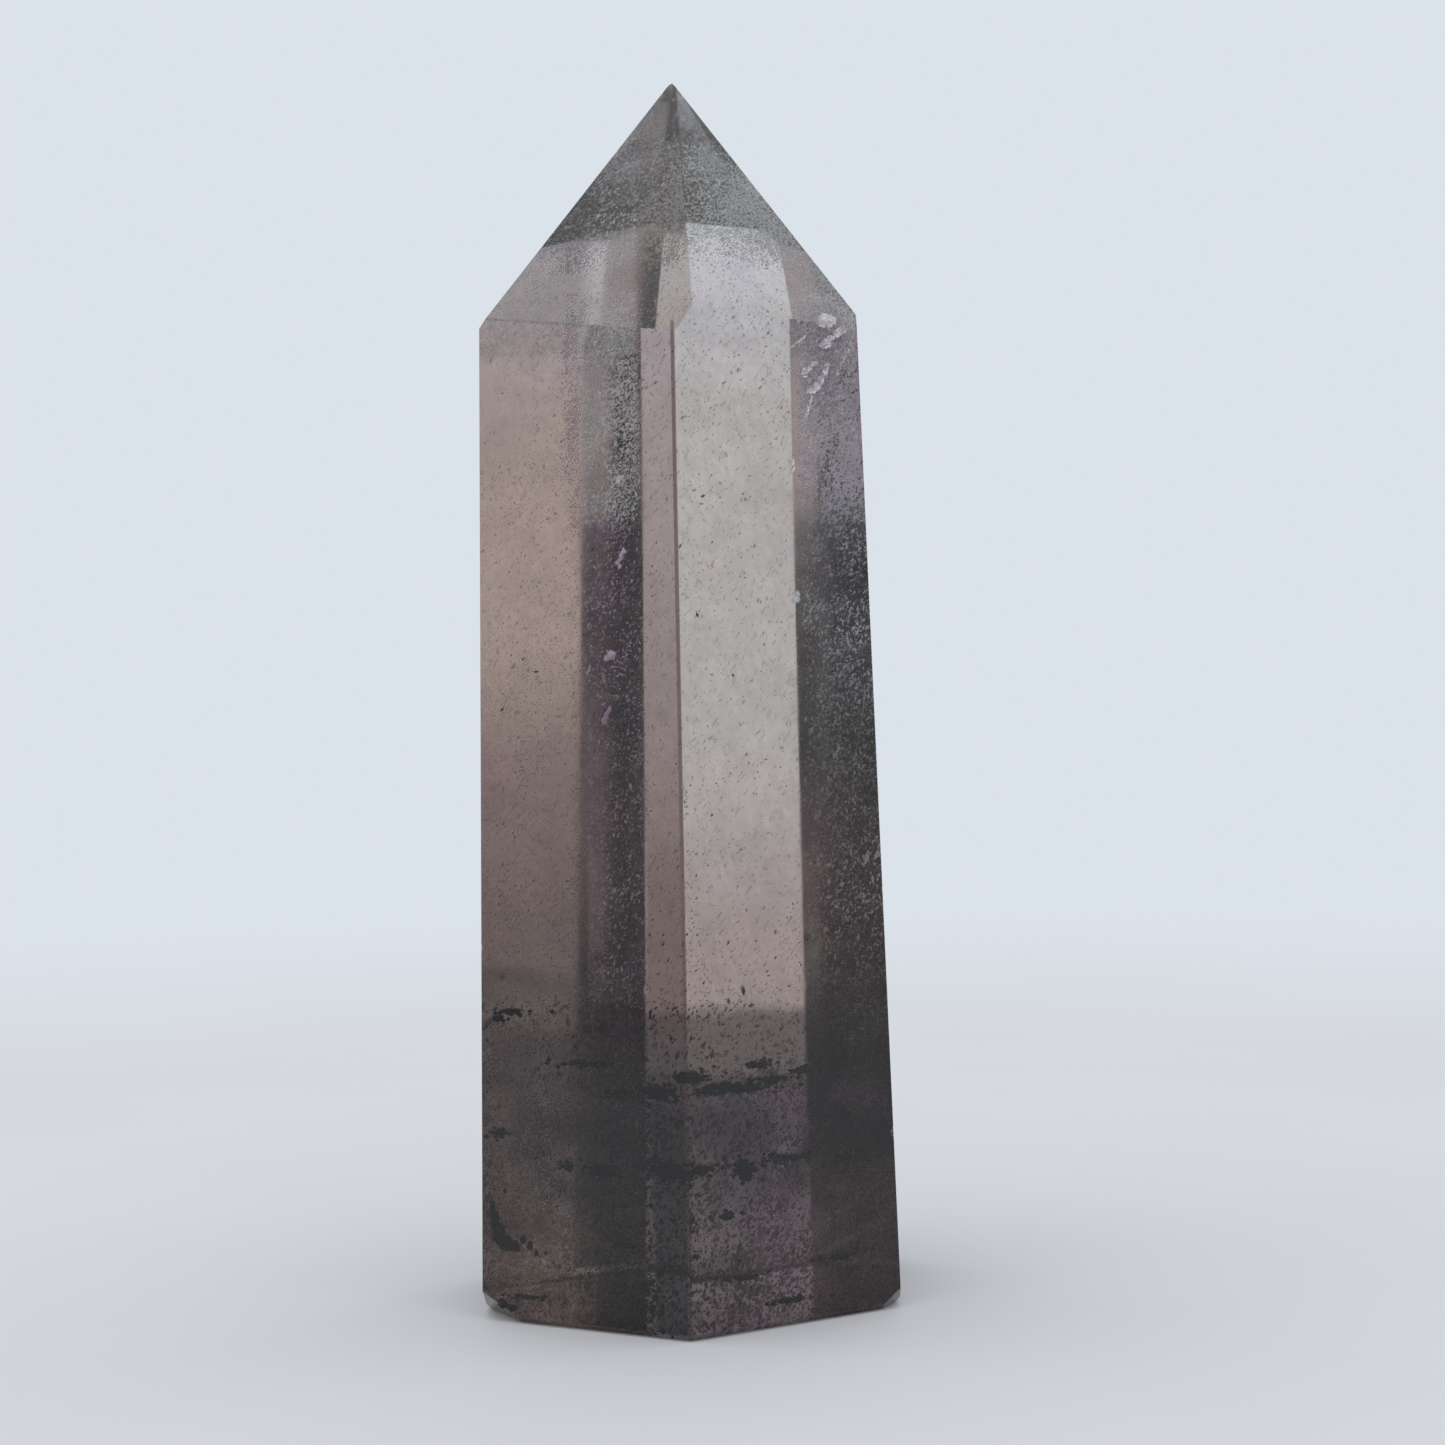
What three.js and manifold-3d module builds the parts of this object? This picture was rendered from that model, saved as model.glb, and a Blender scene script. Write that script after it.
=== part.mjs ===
// Smoky quartz tower: one six-sided point, ground and polished from a single crystal.
// Millimetres, +Z up. The origin is the middle of the base and -Y is the front.
import * as THREE from 'three';
import { mergeVertices } from 'three/addons/utils/BufferGeometryUtils.js';
import Module from 'manifold-3d';

// Blank: the rough block that the flats are ground on
const BLANK_RADIUS = 24;
const BLANK_HEIGHT = 86;
const BLANK_SEGMENTS = 24;

// Grinding wheel: a block that takes away all that lies past a flat
const WHEEL_SIZE = 140;

// Side flats. bearing: degrees from the front, turning to the right.
// reach: distance from the axis at the foot. lean: degrees that the flat leans inwards.
const SIDE_FLATS = {
  leftFront: { bearing: -28.4, reach: 13.9, lean: 1.2 },
  rightFront: { bearing: 32.0, reach: 13.3, lean: 1.1 },
  right: { bearing: 89.3, reach: 13.3, lean: 1.5 },
  backRight: { bearing: 145.9, reach: 14.3, lean: 1.2 },
  backLeft: { bearing: 215.2, reach: 11.6, lean: 1.5 },
  left: { bearing: 270.0, reach: 13.4, lean: 0.8 },
};

// Point flats. slope: degrees from level. peak: height at which the flat crosses the axis.
const POINT_FLATS = {
  leftFront: { bearing: -22.9, slope: 56.0, peak: 81.1 },
  rightFront: { bearing: 33.7, slope: 56.8, peak: 81.3 },
  right: { bearing: 89.7, slope: 54.7, peak: 79.9 },
  backRight: { bearing: 145.9, slope: 47.2, peak: 79.3 },
  backLeft: { bearing: 215.2, slope: 52.0, peak: 79.1 },
  left: { bearing: 271.6, slope: 53.7, peak: 80.2 },
};

// Foot: a narrow bevel all round, and two corners worn back further.
// depth: how far the flat cuts in past the sharp edge or corner.
const FOOT_BEVEL = { slope: -48, depth: 0.3 };
const FOOT_CORNERS = [
  { bearing: -59, slope: -44, depth: 0.95 },
  { bearing: 61, slope: -36, depth: 0.5 },
];

// Chips: small shell-shaped breaks along the edges.
// edge: the two flats whose edge is chipped. height: millimetres up. radius and bite: size and depth.
const CHIPS = [
  { edge: ['rightFront', 'right'], height: 11.2, radius: 0.55, bite: 0.16 },
  { edge: ['leftFront', 'left'], height: 23.5, radius: 0.45, bite: 0.1 },
  { edge: ['leftFront', 'rightFront'], height: 28.5, radius: 0.5, bite: 0.1 },
  { edge: ['backRight', 'backLeft'], height: 19.0, radius: 0.7, bite: 0.16 },
  { edge: ['backLeft', 'left'], height: 47.0, radius: 0.5, bite: 0.12 },
];

// The chip on the right end of the front shoulder, measured back from the corner there
const SHOULDER_CHIP = { back: 1.8, radius: 1.0, bite: 0.3 };

// Finish
const STONE_COLOUR = '#8f837f';
const STONE_ROUGHNESS = 0.08;

const wasm = await Module();
wasm.setup();

// The outward normal of a flat: bearing round the axis, tilt up from level, in degrees
function flatNormal(bearing, tilt) {
  const round = THREE.MathUtils.degToRad(bearing);
  const up = THREE.MathUtils.degToRad(tilt);
  return new THREE.Vector3(
    Math.sin(round) * Math.cos(up),
    -Math.cos(round) * Math.cos(up),
    Math.sin(up),
  );
}

function toSolid(geometry) {
  const bare = geometry.clone();
  bare.deleteAttribute('normal');
  bare.deleteAttribute('uv');
  const merged = mergeVertices(bare, 1e-4);
  return new wasm.Manifold(new wasm.Mesh({
    numProp: 3,
    vertProperties: new Float32Array(merged.attributes.position.array),
    triVerts: new Uint32Array(merged.index.array),
  }));
}

function toGeometry(solid) {
  const mesh = solid.getMesh();
  const geometry = new THREE.BufferGeometry();
  geometry.setAttribute('position', new THREE.BufferAttribute(new Float32Array(mesh.vertProperties), 3));
  geometry.setIndex(new THREE.BufferAttribute(new Uint32Array(mesh.triVerts), 1));
  return geometry;
}

// A plane: its outward normal and its distance from the origin along that normal
function sidePlane({ bearing, reach, lean }) {
  const normal = flatNormal(bearing, lean);
  return { normal, distance: reach * Math.cos(THREE.MathUtils.degToRad(lean)) };
}

function pointPlane({ bearing, slope, peak }) {
  const normal = flatNormal(bearing, 90 - slope);
  return { normal, distance: peak * normal.z };
}

// Grind the stone back to a plane
function grind(stone, { normal, distance }) {
  const wheel = new THREE.BoxGeometry(WHEEL_SIZE, WHEEL_SIZE, WHEEL_SIZE);
  const turn = new THREE.Quaternion().setFromUnitVectors(new THREE.Vector3(0, 0, 1), normal);
  wheel.applyQuaternion(turn);
  wheel.translate(...normal.clone().multiplyScalar(distance + WHEEL_SIZE / 2).toArray());
  return stone.subtract(toSolid(wheel));
}

// The furthest that the stone reaches along a direction
function reachAlong(stone, normal) {
  const { vertProperties } = stone.getMesh();
  let furthest = -Infinity;
  for (let i = 0; i < vertProperties.length; i += 3) {
    const vertex = new THREE.Vector3().fromArray(vertProperties, i);
    furthest = Math.max(furthest, vertex.dot(normal));
  }
  return furthest;
}

// Take a sharp edge or corner back by a depth, on a flat that faces down and outwards
function bevelFoot(stone, { bearing, slope, depth }) {
  const normal = flatNormal(bearing, slope);
  return grind(stone, { normal, distance: reachAlong(stone, normal) - depth });
}

// The point that lies on three planes
function meetingPoint(a, b, c) {
  const across = (p, q) => new THREE.Vector3().crossVectors(p.normal, q.normal);
  const volume = a.normal.dot(across(b, c));
  return across(b, c).multiplyScalar(a.distance)
    .add(across(c, a).multiplyScalar(b.distance))
    .add(across(a, b).multiplyScalar(c.distance))
    .divideScalar(volume);
}

// Break a shell-shaped chip out of the edge where two planes meet
function chipAt(stone, place, [one, other], { radius, bite }) {
  const outwards = new THREE.Vector3().addVectors(one.normal, other.normal).normalize();
  const centre = place.clone().addScaledVector(outwards, radius - bite);
  const chip = new THREE.IcosahedronGeometry(radius, 1);
  chip.translate(...centre.toArray());
  return stone.subtract(toSolid(chip));
}

function groundBlank() {
  const blank = new THREE.CylinderGeometry(BLANK_RADIUS, BLANK_RADIUS, BLANK_HEIGHT, BLANK_SEGMENTS);
  blank.rotateX(Math.PI / 2);
  blank.translate(0, 0, BLANK_HEIGHT / 2);
  let stone = toSolid(blank);
  for (const flat of Object.values(SIDE_FLATS)) stone = grind(stone, sidePlane(flat));
  for (const flat of Object.values(POINT_FLATS)) stone = grind(stone, pointPlane(flat));
  return stone;
}

function wearFoot(stone) {
  let worn = stone;
  for (const { bearing } of Object.values(SIDE_FLATS)) worn = bevelFoot(worn, { bearing, ...FOOT_BEVEL });
  for (const corner of FOOT_CORNERS) worn = bevelFoot(worn, corner);
  return worn;
}

function chipEdges(stone) {
  let chipped = stone;
  for (const chip of CHIPS) {
    const edge = chip.edge.map((name) => sidePlane(SIDE_FLATS[name]));
    const level = { normal: new THREE.Vector3(0, 0, 1), distance: chip.height };
    chipped = chipAt(chipped, meetingPoint(...edge, level), edge, chip);
  }
  const front = sidePlane(SIDE_FLATS.rightFront);
  const shoulder = [front, pointPlane(POINT_FLATS.rightFront)];
  const corner = meetingPoint(...shoulder, sidePlane(SIDE_FLATS.right));
  const along = new THREE.Vector3().crossVectors(...shoulder.map((plane) => plane.normal)).normalize();
  const inwards = along.dot(corner) > 0 ? -1 : 1;
  const place = corner.clone().addScaledVector(along, inwards * SHOULDER_CHIP.back);
  return chipAt(chipped, place, shoulder, SHOULDER_CHIP);
}

// Stand the stone on its base, with the origin at the middle of its outline
function centreOnBase(geometry) {
  geometry.computeBoundingBox();
  const middle = geometry.boundingBox.getCenter(new THREE.Vector3());
  geometry.translate(-middle.x, -middle.y, -geometry.boundingBox.min.z);
  geometry.computeVertexNormals();
  return geometry;
}

function makeTower() {
  const stone = chipEdges(wearFoot(groundBlank()));
  const material = new THREE.MeshStandardMaterial({
    color: STONE_COLOUR,
    roughness: STONE_ROUGHNESS,
    metalness: 0,
  });
  const mesh = new THREE.Mesh(centreOnBase(toGeometry(stone)), material);
  mesh.name = 'tower';
  return mesh;
}

const model = new THREE.Group();
model.add(makeTower());

export default model;
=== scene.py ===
"""Smoky quartz tower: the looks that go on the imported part. Metres, +Z up, the front faces -Y."""

import math
import random

import bmesh
import bpy
from bpy.props import FloatProperty, FloatVectorProperty, IntProperty, PointerProperty
from mathutils import Matrix, Quaternion, Vector, noise


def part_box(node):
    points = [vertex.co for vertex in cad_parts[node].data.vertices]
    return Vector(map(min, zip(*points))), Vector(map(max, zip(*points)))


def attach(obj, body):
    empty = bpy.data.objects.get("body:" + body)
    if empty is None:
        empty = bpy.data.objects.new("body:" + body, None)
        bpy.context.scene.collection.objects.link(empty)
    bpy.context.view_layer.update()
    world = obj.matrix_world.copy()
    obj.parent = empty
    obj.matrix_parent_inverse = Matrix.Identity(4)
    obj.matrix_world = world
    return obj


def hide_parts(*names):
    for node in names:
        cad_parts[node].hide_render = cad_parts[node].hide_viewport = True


bl_info = {
    "name": "Smoky Quartz Tower",
    "version": (1, 0, 0),
    "blender": (4, 5, 0),
    "location": "3D View > Sidebar > Quartz Tower",
    "description": "Builds a polished smoky quartz tower with what is enclosed in it, and its stage",
    "category": "Object",
}

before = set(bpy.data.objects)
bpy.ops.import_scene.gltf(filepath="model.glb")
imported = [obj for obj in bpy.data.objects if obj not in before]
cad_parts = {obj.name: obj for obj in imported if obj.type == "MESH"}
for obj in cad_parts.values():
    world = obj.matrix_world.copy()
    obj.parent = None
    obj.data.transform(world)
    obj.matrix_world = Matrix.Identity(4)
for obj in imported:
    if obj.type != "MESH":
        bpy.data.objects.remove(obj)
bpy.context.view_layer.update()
MM = 0.001

# The part's own names
TOWER = "tower"
BODY = "root"
STONE_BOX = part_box(TOWER)
LEFT, FRONT, _ = STONE_BOX[0]
RIGHT, BACK, TOP = STONE_BOX[1]

# What counts as a flat of the stone, and not as a chip or a bevel
FLAT_AREA = 4e-6
FLAT_TURN = math.radians(0.5)
MERGE_GAP = 2e-6

# What counts as a long edge: its length in edge widths, its sharpness, and the size of the faces beside it
EDGE_LENGTH = 12
EDGE_TURN = math.radians(5)
EDGE_FACE = FLAT_AREA / 8

# Where the two front flats and the left front point flat face
FRONT_LEFT = Vector((-0.476, -0.879, 0.021))
FRONT_RIGHT = Vector((0.53, -0.848, 0.019))
POINT_LEFT = Vector((-0.323, -0.764, 0.559))

# Upright bands on the front: the X at which the mask of each starts and the X at which it is full
# The column, the strip and the far right band carry painted shade, standing in for dark surroundings seen
# through the stone
COLUMN_LEFT, COLUMN_RIGHT = (-0.0062, -0.0058), (-0.002, -0.0025)
STRIP_LEFT = (-0.0026, -0.0021)
FAR_RIGHT = (0.0071, 0.0075)
POINT_PALE = (-0.0064, -0.0046)

# In the foot: off the shadow to its left and to its right, where the purple starts, and the lighter left end
OFF_SHADOW = ((-0.0045, -0.007), (-0.0001, 0.0002))
PURPLE_FOOT = (-0.001, 0.004)
LEFT_END = (-0.0098, -0.0118)

# The painted shade along the front edge, a thin dark reddish line: its Y, and its X from the left and from
# the right
EDGE_SHADE_FRONT = (-0.0136, -0.0139)
EDGE_SHADE_LEFT, EDGE_SHADE_RIGHT = (-0.00026, -0.0002), (0.00003, -0.00003)

# The bright band in the middle of the front, the shoulders, and the top of the bright patch above them
BRIGHT_LEFT, BRIGHT_RIGHT = -0.0023, 0.0073
SHOULDER = 0.062
PATCH_TOP = 0.066

# Depths in the foot: the clear skin over the dark layers, the thick murk under it, and the murk by any flat
SKIN_DEPTH = 0.9 * MM
MURK_DEPTH = 3.1 * MM
WALL_DEPTH = 2.2 * MM

# Hues of the murk from left to right, as X and colour
# The black stretch beside the front edge and the dusky ones under the column and far right band are painted
# shade
BROWN, SHADE_BLACK, DUSK = (1.0, 0.92, 0.83), (0.03, 0.024, 0.026), (0.36, 0.29, 0.3)
GREY, MAUVE = (0.82, 0.72, 0.74), (0.9, 0.77, 0.89)
MURK_HUES = (
    (-0.0128, DUSK), (-0.0112, BROWN), (-0.0075, BROWN), (-0.005, DUSK), (-0.003, DUSK), (-0.0024, SHADE_BLACK),
    (-0.0001, SHADE_BLACK), (0.0005, GREY), (0.0045, MAUVE), (0.008, MAUVE), (0.0095, DUSK),
)

# A speck's thickness both ways and its length, as shares of its size
SPECK_SHAPE = (0.5, 0.45, 1.0)

# Where the glints on the right face
GLINT_FACE = Vector((0.24, -0.93, 0.275))

# A glint's width and thickness as shares of its stroke's half width, and how much longer than that it is
GLINT_WIDTH, GLINT_THICKNESS, GLINT_LONGER = 1.3, 0.1, 0.12 * MM


def colour_setting(name, description, default, brightest=1.0):
    """A colour that a user can change"""
    return FloatVectorProperty(
        name=name, description=description, default=default, size=3, min=0.0, max=brightest,
        subtype="COLOR")


def count_setting(name, description, default):
    """A number of specks that a user can change"""
    return IntProperty(name=name, description=description, default=default, min=0)


class StoneSettings(bpy.types.PropertyGroup):
    """Sizes and colours of the polished stone"""

    edge_width: FloatProperty(
        name="Edge width", description="Width of the polish along each long edge",
        default=0.00015, min=0.0, max=0.0005, unit="LENGTH", precision=5)
    refraction: FloatProperty(
        name="Refraction", description="Index of refraction of quartz", default=1.544, min=1.0, max=2.0)
    gloss_low: FloatProperty(
        name="Finest polish", description="Roughness of the clearest places",
        default=0.045, min=0.0, max=1.0)
    gloss_high: FloatProperty(
        name="Dullest polish", description="Roughness of the smeared places",
        default=0.1, min=0.0, max=1.0)
    smoke: colour_setting("Smoke", "Colour that the smoky body lets through", (0.42, 0.36, 0.3))
    smoke_depth: FloatProperty(
        name="Smoke depth", description="How much each metre of the stone takes away",
        default=18.0, min=0.0)
    clear_tint: colour_setting("Clear zone", "Tint of the middle of the stone", (0.9, 0.81, 0.75))
    pale_tint: colour_setting("Pale zone", "Tint of the shoulders", (1.0, 0.96, 0.98))
    mist_tint: colour_setting(
        "Misty zone", "Tint of the middle of the stone just above the foot", (0.68, 0.54, 0.5))
    peach_tint: colour_setting(
        "Peach zone", "Tint of the warm middle of the left front flat", (0.86, 0.61, 0.54))
    rose_tint: colour_setting("Rose zone", "Tint of the top of the left front flat", (0.76, 0.57, 0.57))
    brown_tint: colour_setting(
        "Brown zone", "Tint of the left front flat below its middle", (0.32, 0.2, 0.19))
    dusk_tint: colour_setting(
        "Dusky zone", "Tint of the left front flat just above the foot", (0.17, 0.11, 0.1))
    moss_tint: colour_setting(
        "Mossy band", "Tint of the dark band of the left front flat, at the top", (1.0, 1.0, 0.96))
    # The purple and plum of the dark band are painted shade, standing in for dark surroundings seen through
    # the stone
    purple_shade: colour_setting(
        "Purple band", "Tint of the dark band of the left front flat, in the middle", (0.66, 0.46, 0.64))
    plum_shade: colour_setting(
        "Plum band", "Tint of the dark band of the left front flat, above the foot", (0.5, 0.36, 0.46))
    # The strip beside the front edge is painted shade
    strip_high_shade: colour_setting(
        "Top of the strip", "Tint beside the front edge, at the top", (0.52, 0.36, 0.36))
    strip_low_shade: colour_setting(
        "Foot of the strip", "Tint beside the front edge, above the foot", (0.17, 0.1, 0.085))
    lilac_tint: colour_setting("Lilac patches", "Tint of the lilac patches", (0.9, 0.84, 0.95))
    clot_tint: colour_setting(
        "Clots", "Tint of the dark clots in the foot and in the dark bands", (0.5, 0.42, 0.5))
    cool_tint: colour_setting("Cool zone", "Tint of the point", (0.95, 0.98, 1.0))
    mauve_tint: colour_setting(
        "Mauve zone", "Tint of the outer part of the left front point flat", (0.42, 0.37, 0.39))
    # The sandy strip on the point is painted shade
    sand_shade: colour_setting(
        "Sandy strip", "Tint beside the front edge, on the point", (0.54, 0.45, 0.4))
    violet_tint: colour_setting(
        "Violet band", "Tint of the right of the right front flat, at the top", (1.0, 0.95, 1.0))
    # The grey band is painted shade
    grey_band_shade: colour_setting(
        "Grey band", "Tint of the right of the right front flat, in the middle", (0.62, 0.73, 0.8))
    # The murky foot is partly the stone's smoky colour and partly painted shade
    murk_and_shade_tint: colour_setting("Murky zone", "Tint of the smoky foot", (0.12, 0.097, 0.1))
    shadow_tint: colour_setting(
        "Shadow zone", "Tint of the foot beside the front edge and on the right", (0.02, 0.016, 0.017))
    sole_tint: colour_setting("Sole", "Tint of the foot near the base", (0.32, 0.26, 0.25))
    olive_tint: colour_setting(
        "Olive sole", "Tint of the foot near the base, on the left front flat", (0.62, 0.5, 0.4))
    stain_tint: colour_setting(
        "Brown stains", "Tint of the lighter stains in the foot, on the left", (0.3, 0.22, 0.18))
    bloom_tint: colour_setting(
        "Purple stains", "Tint of the lighter stains in the foot, on the right", (0.24, 0.15, 0.24))
    haze_tint: colour_setting(
        "Hazy zone", "Tint of the layer where the smoky foot starts", (0.24, 0.195, 0.18))
    # A thin dark reddish line of painted shade along the front edge
    edge_shade_tint: colour_setting(
        "Rusty edge", "Tint of the thin skin along the front edge", (0.1, 0.05, 0.045))
    # The heights of the foot, whose darkening is partly painted shade
    murk_top: FloatProperty(
        name="Murk height", description="Height at which the smoky foot starts",
        default=0.0198, min=0.0, unit="LENGTH", precision=4)
    murk_dip: FloatProperty(
        name="Murk dip",
        description="How far the smoky foot dips towards the back, in metres for each metre",
        default=0.095)
    murk_full: FloatProperty(
        name="Full murk height", description="Height below which the foot is at its darkest",
        default=0.0156, min=0.0, unit="LENGTH", precision=4)


class InclusionSettings(bpy.types.PropertyGroup):
    """Numbers, slant and colours of what is enclosed in the stone"""

    dark_count: count_setting("Dark flecks", "How many dark flecks the stone holds", 1300)
    dust_count: count_setting("Dust", "How many grey specks the whole stone holds", 18000)
    frost_count: count_setting("Frost", "How many pale specks the point and the shoulders hold", 1300)
    point_cloud_count: count_setting(
        "Point cloud", "How many pale specks the cloud in the point holds", 16000)
    left_cloud_count: count_setting(
        "Left cloud", "How many pale specks the cloud under the left front flat holds", 10500)
    right_cloud_count: count_setting(
        "Right cloud", "How many pale specks the cloud under the right front flat holds", 17000)
    point_veil_count: count_setting(
        "Point veil", "How many pale specks the veil under the left front point flat holds", 1800)
    murk_count: count_setting("Murk", "How many brown, black and mauve specks the foot holds", 15000)
    needle_count: count_setting("Needles", "How many pale needles the stone holds", 2000)
    slant: FloatProperty(
        name="Slant", description="How steeply the flecks and needles run, up to the right",
        default=math.radians(58), subtype="ANGLE")
    dark_colour: colour_setting("Dark mineral", "Colour of the dark flecks", (0.05, 0.042, 0.05))
    dust_colour: colour_setting("Grey mineral", "Colour of the dust", (0.8, 0.77, 0.86))
    murk_colour: colour_setting(
        "Murk mineral", "Lightest colour of the specks in the foot", (0.66, 0.61, 0.59))
    pale_colour: colour_setting("Pale mineral", "Colour of the frost and the needles", (0.94, 0.95, 0.95))
    plum_colour: colour_setting(
        "Plum mineral", "Colour of the dark purple patch at the foot", (0.034, 0.01, 0.042))


class StageSettings(bpy.types.PropertyGroup):
    """Floor, light and camera"""

    floor_colour: colour_setting("Floor", "Colour of the plain floor", (0.78, 0.79, 0.81))
    floor_radius: FloatProperty(
        name="Floor radius", description="Where the floor ends", default=0.9, min=0.1, unit="LENGTH")
    back_light: colour_setting(
        "Back light", "Light of the back wall", (0.708, 0.762, 0.822), brightest=4.0)
    side_light: colour_setting(
        "Right light", "Light of the right wall", (0.66, 0.66, 0.67), brightest=4.0)
    front_light: colour_setting(
        "Front light", "Light of the room behind the camera, above the table", (0.64, 0.65, 0.67),
        brightest=4.0)
    low_light: colour_setting(
        "Low light", "Light of the room behind the camera, below the table top", (0.13, 0.135, 0.14),
        brightest=4.0)
    top_light: colour_setting(
        "Top light", "Light of the soft box overhead", (1.05, 1.07, 1.1), brightest=4.0)
    camera_place: FloatVectorProperty(
        name="Camera", description="Place of the camera",
        default=(0.00251, -0.17178, 0.03749), size=3, subtype="TRANSLATION", precision=5)
    camera_roll: FloatProperty(
        name="Camera roll", description="How far the camera leans", default=0.0191, subtype="ANGLE")
    lens: FloatProperty(
        name="Lens", description="Focal length in millimetres, on a 36 mm sensor", default=64.2, min=1.0)


# Meshes

def new_piece(name, bm, material):
    """Turns a bmesh into a piece that rides on the part"""
    mesh = bpy.data.meshes.new(name)
    bm.to_mesh(mesh)
    bm.free()
    if not mesh.polygons:
        raise RuntimeError(f"{name} has no faces")
    mesh.materials.append(material)
    piece = bpy.data.objects.new(name, mesh)
    bpy.context.scene.collection.objects.link(piece)
    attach(piece, BODY)
    return piece


def stone_bmesh():
    """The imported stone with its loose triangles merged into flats"""
    bm = bmesh.new()
    bm.from_mesh(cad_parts[TOWER].data)
    bmesh.ops.remove_doubles(bm, verts=bm.verts, dist=MERGE_GAP)
    bmesh.ops.dissolve_limit(
        bm, angle_limit=FLAT_TURN, use_dissolve_boundaries=False, verts=bm.verts, edges=bm.edges)
    bmesh.ops.recalc_face_normals(bm, faces=bm.faces)
    return bm


def stone_flats():
    """Each large flat of the stone, as its outward normal and its distance from the origin"""
    bm = stone_bmesh()
    flats = [(f.normal.copy(), f.normal.dot(f.calc_center_median()))
             for f in bm.faces if f.calc_area() > FLAT_AREA]
    bm.free()
    return flats


def depth_inside(flats, place):
    """How far a place is below the nearest flat"""
    return min(distance - normal.dot(place) for normal, distance in flats)


def facing(flats, heading):
    """The flat that faces a heading"""
    return max(flats, key=lambda flat: flat[0].dot(heading))


def under_flat(flats, heading, x, z, depth):
    """A place at an X and Z, at a depth under the flat that faces a heading"""
    normal, distance = facing(flats, heading)
    y = (distance - normal.x * x - normal.z * z) / normal.y
    return Vector((x, y, z)) - normal * depth


def random_place(rng, flats, margin, box):
    """A place in a box that is in the stone and clear of its surface"""
    while True:
        place = Vector([rng.uniform(low, high) for low, high in zip(*box)])
        if depth_inside(flats, place) > margin:
            return place


def slab(low, high, left=LEFT, right=RIGHT):
    """The box round the part of the stone between two heights, and between two Xs"""
    return (left, FRONT, low), (right, BACK, high)


def share_between(value, low, high):
    """How far a value is from low to high, kept between none and all of it"""
    return min(1.0, max(0.0, (value - low) / (high - low)))


def thickening(thin, value, low, high):
    """A share that grows from thin to all of it, as a value goes from low to high"""
    return thin + (1.0 - thin) * share_between(value, low, high)


def repeated_crumbs(spots):
    """A bmesh with an eight-faced crumb of radius one at each spot, placed by the spot's matrix"""
    bm = bmesh.new()
    bmesh.ops.create_uvsphere(bm, u_segments=4, v_segments=2, radius=1.0)
    number = bm.verts.layers.int.new("number")
    made = 1
    while made < len(spots):
        copies = bmesh.ops.duplicate(bm, geom=bm.verts[:] + bm.edges[:] + bm.faces[:])["geom"]
        for part in copies:
            if isinstance(part, bmesh.types.BMVert):
                part[number] += made
        made *= 2
    spare = [vert for vert in bm.verts if vert[number] >= len(spots)]
    bmesh.ops.delete(bm, geom=spare, context="VERTS")
    for vert in bm.verts:
        vert.co = spots[vert[number]] @ vert.co
    bm.verts.layers.int.remove(number)
    return bm


def shaped(place, turn, sizes):
    """A matrix that gives a crumb its half sizes, turns it and puts it in its place"""
    return Matrix.Translation(place) @ turn @ Matrix.Diagonal((*sizes, 1.0))


def laid_flat(face, along):
    """A turn that lays the Y axis along a face's heading, and the Z axis as near along another as it can"""
    thin = face.normalized()
    long = (along - thin * along.dot(thin)).normalized()
    return Matrix((thin.cross(long), thin, long)).transposed().to_4x4()


def slanted(rng, slant, spread):
    """A turn that lays the Z axis along the slant, up to the right, give or take a spread"""
    lean = math.pi / 2 - slant + rng.gauss(0, spread)
    towards = rng.gauss(0, spread)
    spin = rng.uniform(0, math.tau)
    return (Quaternion((1, 0, 0), towards) @ Quaternion((0, 1, 0), lean)
            @ Quaternion((0, 0, 1), spin)).to_matrix().to_4x4()


# Shader nodes

def add_node(tree, kind, inputs=(), **settings):
    """A node with its settings, and its inputs given by name as values or as sockets to link"""
    made = tree.nodes.new(kind)
    for name, value in settings.items():
        setattr(made, name, value)
    for name, value in dict(inputs).items():
        if isinstance(value, bpy.types.NodeSocket):
            tree.links.new(value, made.inputs[name])
        else:
            made.inputs[name].default_value = value
    return made


def ramp_between(tree, value, low, high, to_low=0.0, to_high=1.0):
    """A smooth step of a value, from low to high"""
    return add_node(tree, "ShaderNodeMapRange", {
        "Value": value, "From Min": low, "From Max": high, "To Min": to_low, "To Max": to_high,
    }, interpolation_type="SMOOTHSTEP").outputs["Result"]


def blend_colours(tree, share, one, other, way="MIX"):
    """A mix of two colours, each a value or a socket"""
    mix = add_node(tree, "ShaderNodeMix", data_type="RGBA", blend_type=way)
    # A Mix node has an A, B and Result for each kind of data, so the ones for colours go by number
    sockets = {"Factor": mix.inputs[0], "A": mix.inputs[6], "B": mix.inputs[7]}
    for name, value in {"Factor": share, "A": one, "B": other}.items():
        if isinstance(value, bpy.types.NodeSocket):
            tree.links.new(value, sockets[name])
        else:
            sockets[name].default_value = value if name == "Factor" else (*value, 1.0)
    return mix.outputs[2]


def darken(tree, colour, by):
    """A colour multiplied by a mask or by another colour"""
    return blend_colours(tree, 1.0, colour, by, "MULTIPLY")


def work_out(tree, operation, one, other):
    """The result of a Math node"""
    made = add_node(tree, "ShaderNodeMath", operation=operation)
    for socket, value in zip(made.inputs, (one, other)):
        if isinstance(value, bpy.types.NodeSocket):
            tree.links.new(value, socket)
        else:
            socket.default_value = value
    return made.outputs[0]


def overlap(tree, mask, *others):
    """A mask over the places where all the given masks meet"""
    for other in others:
        mask = work_out(tree, "MULTIPLY", mask, other)
    return mask


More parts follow.
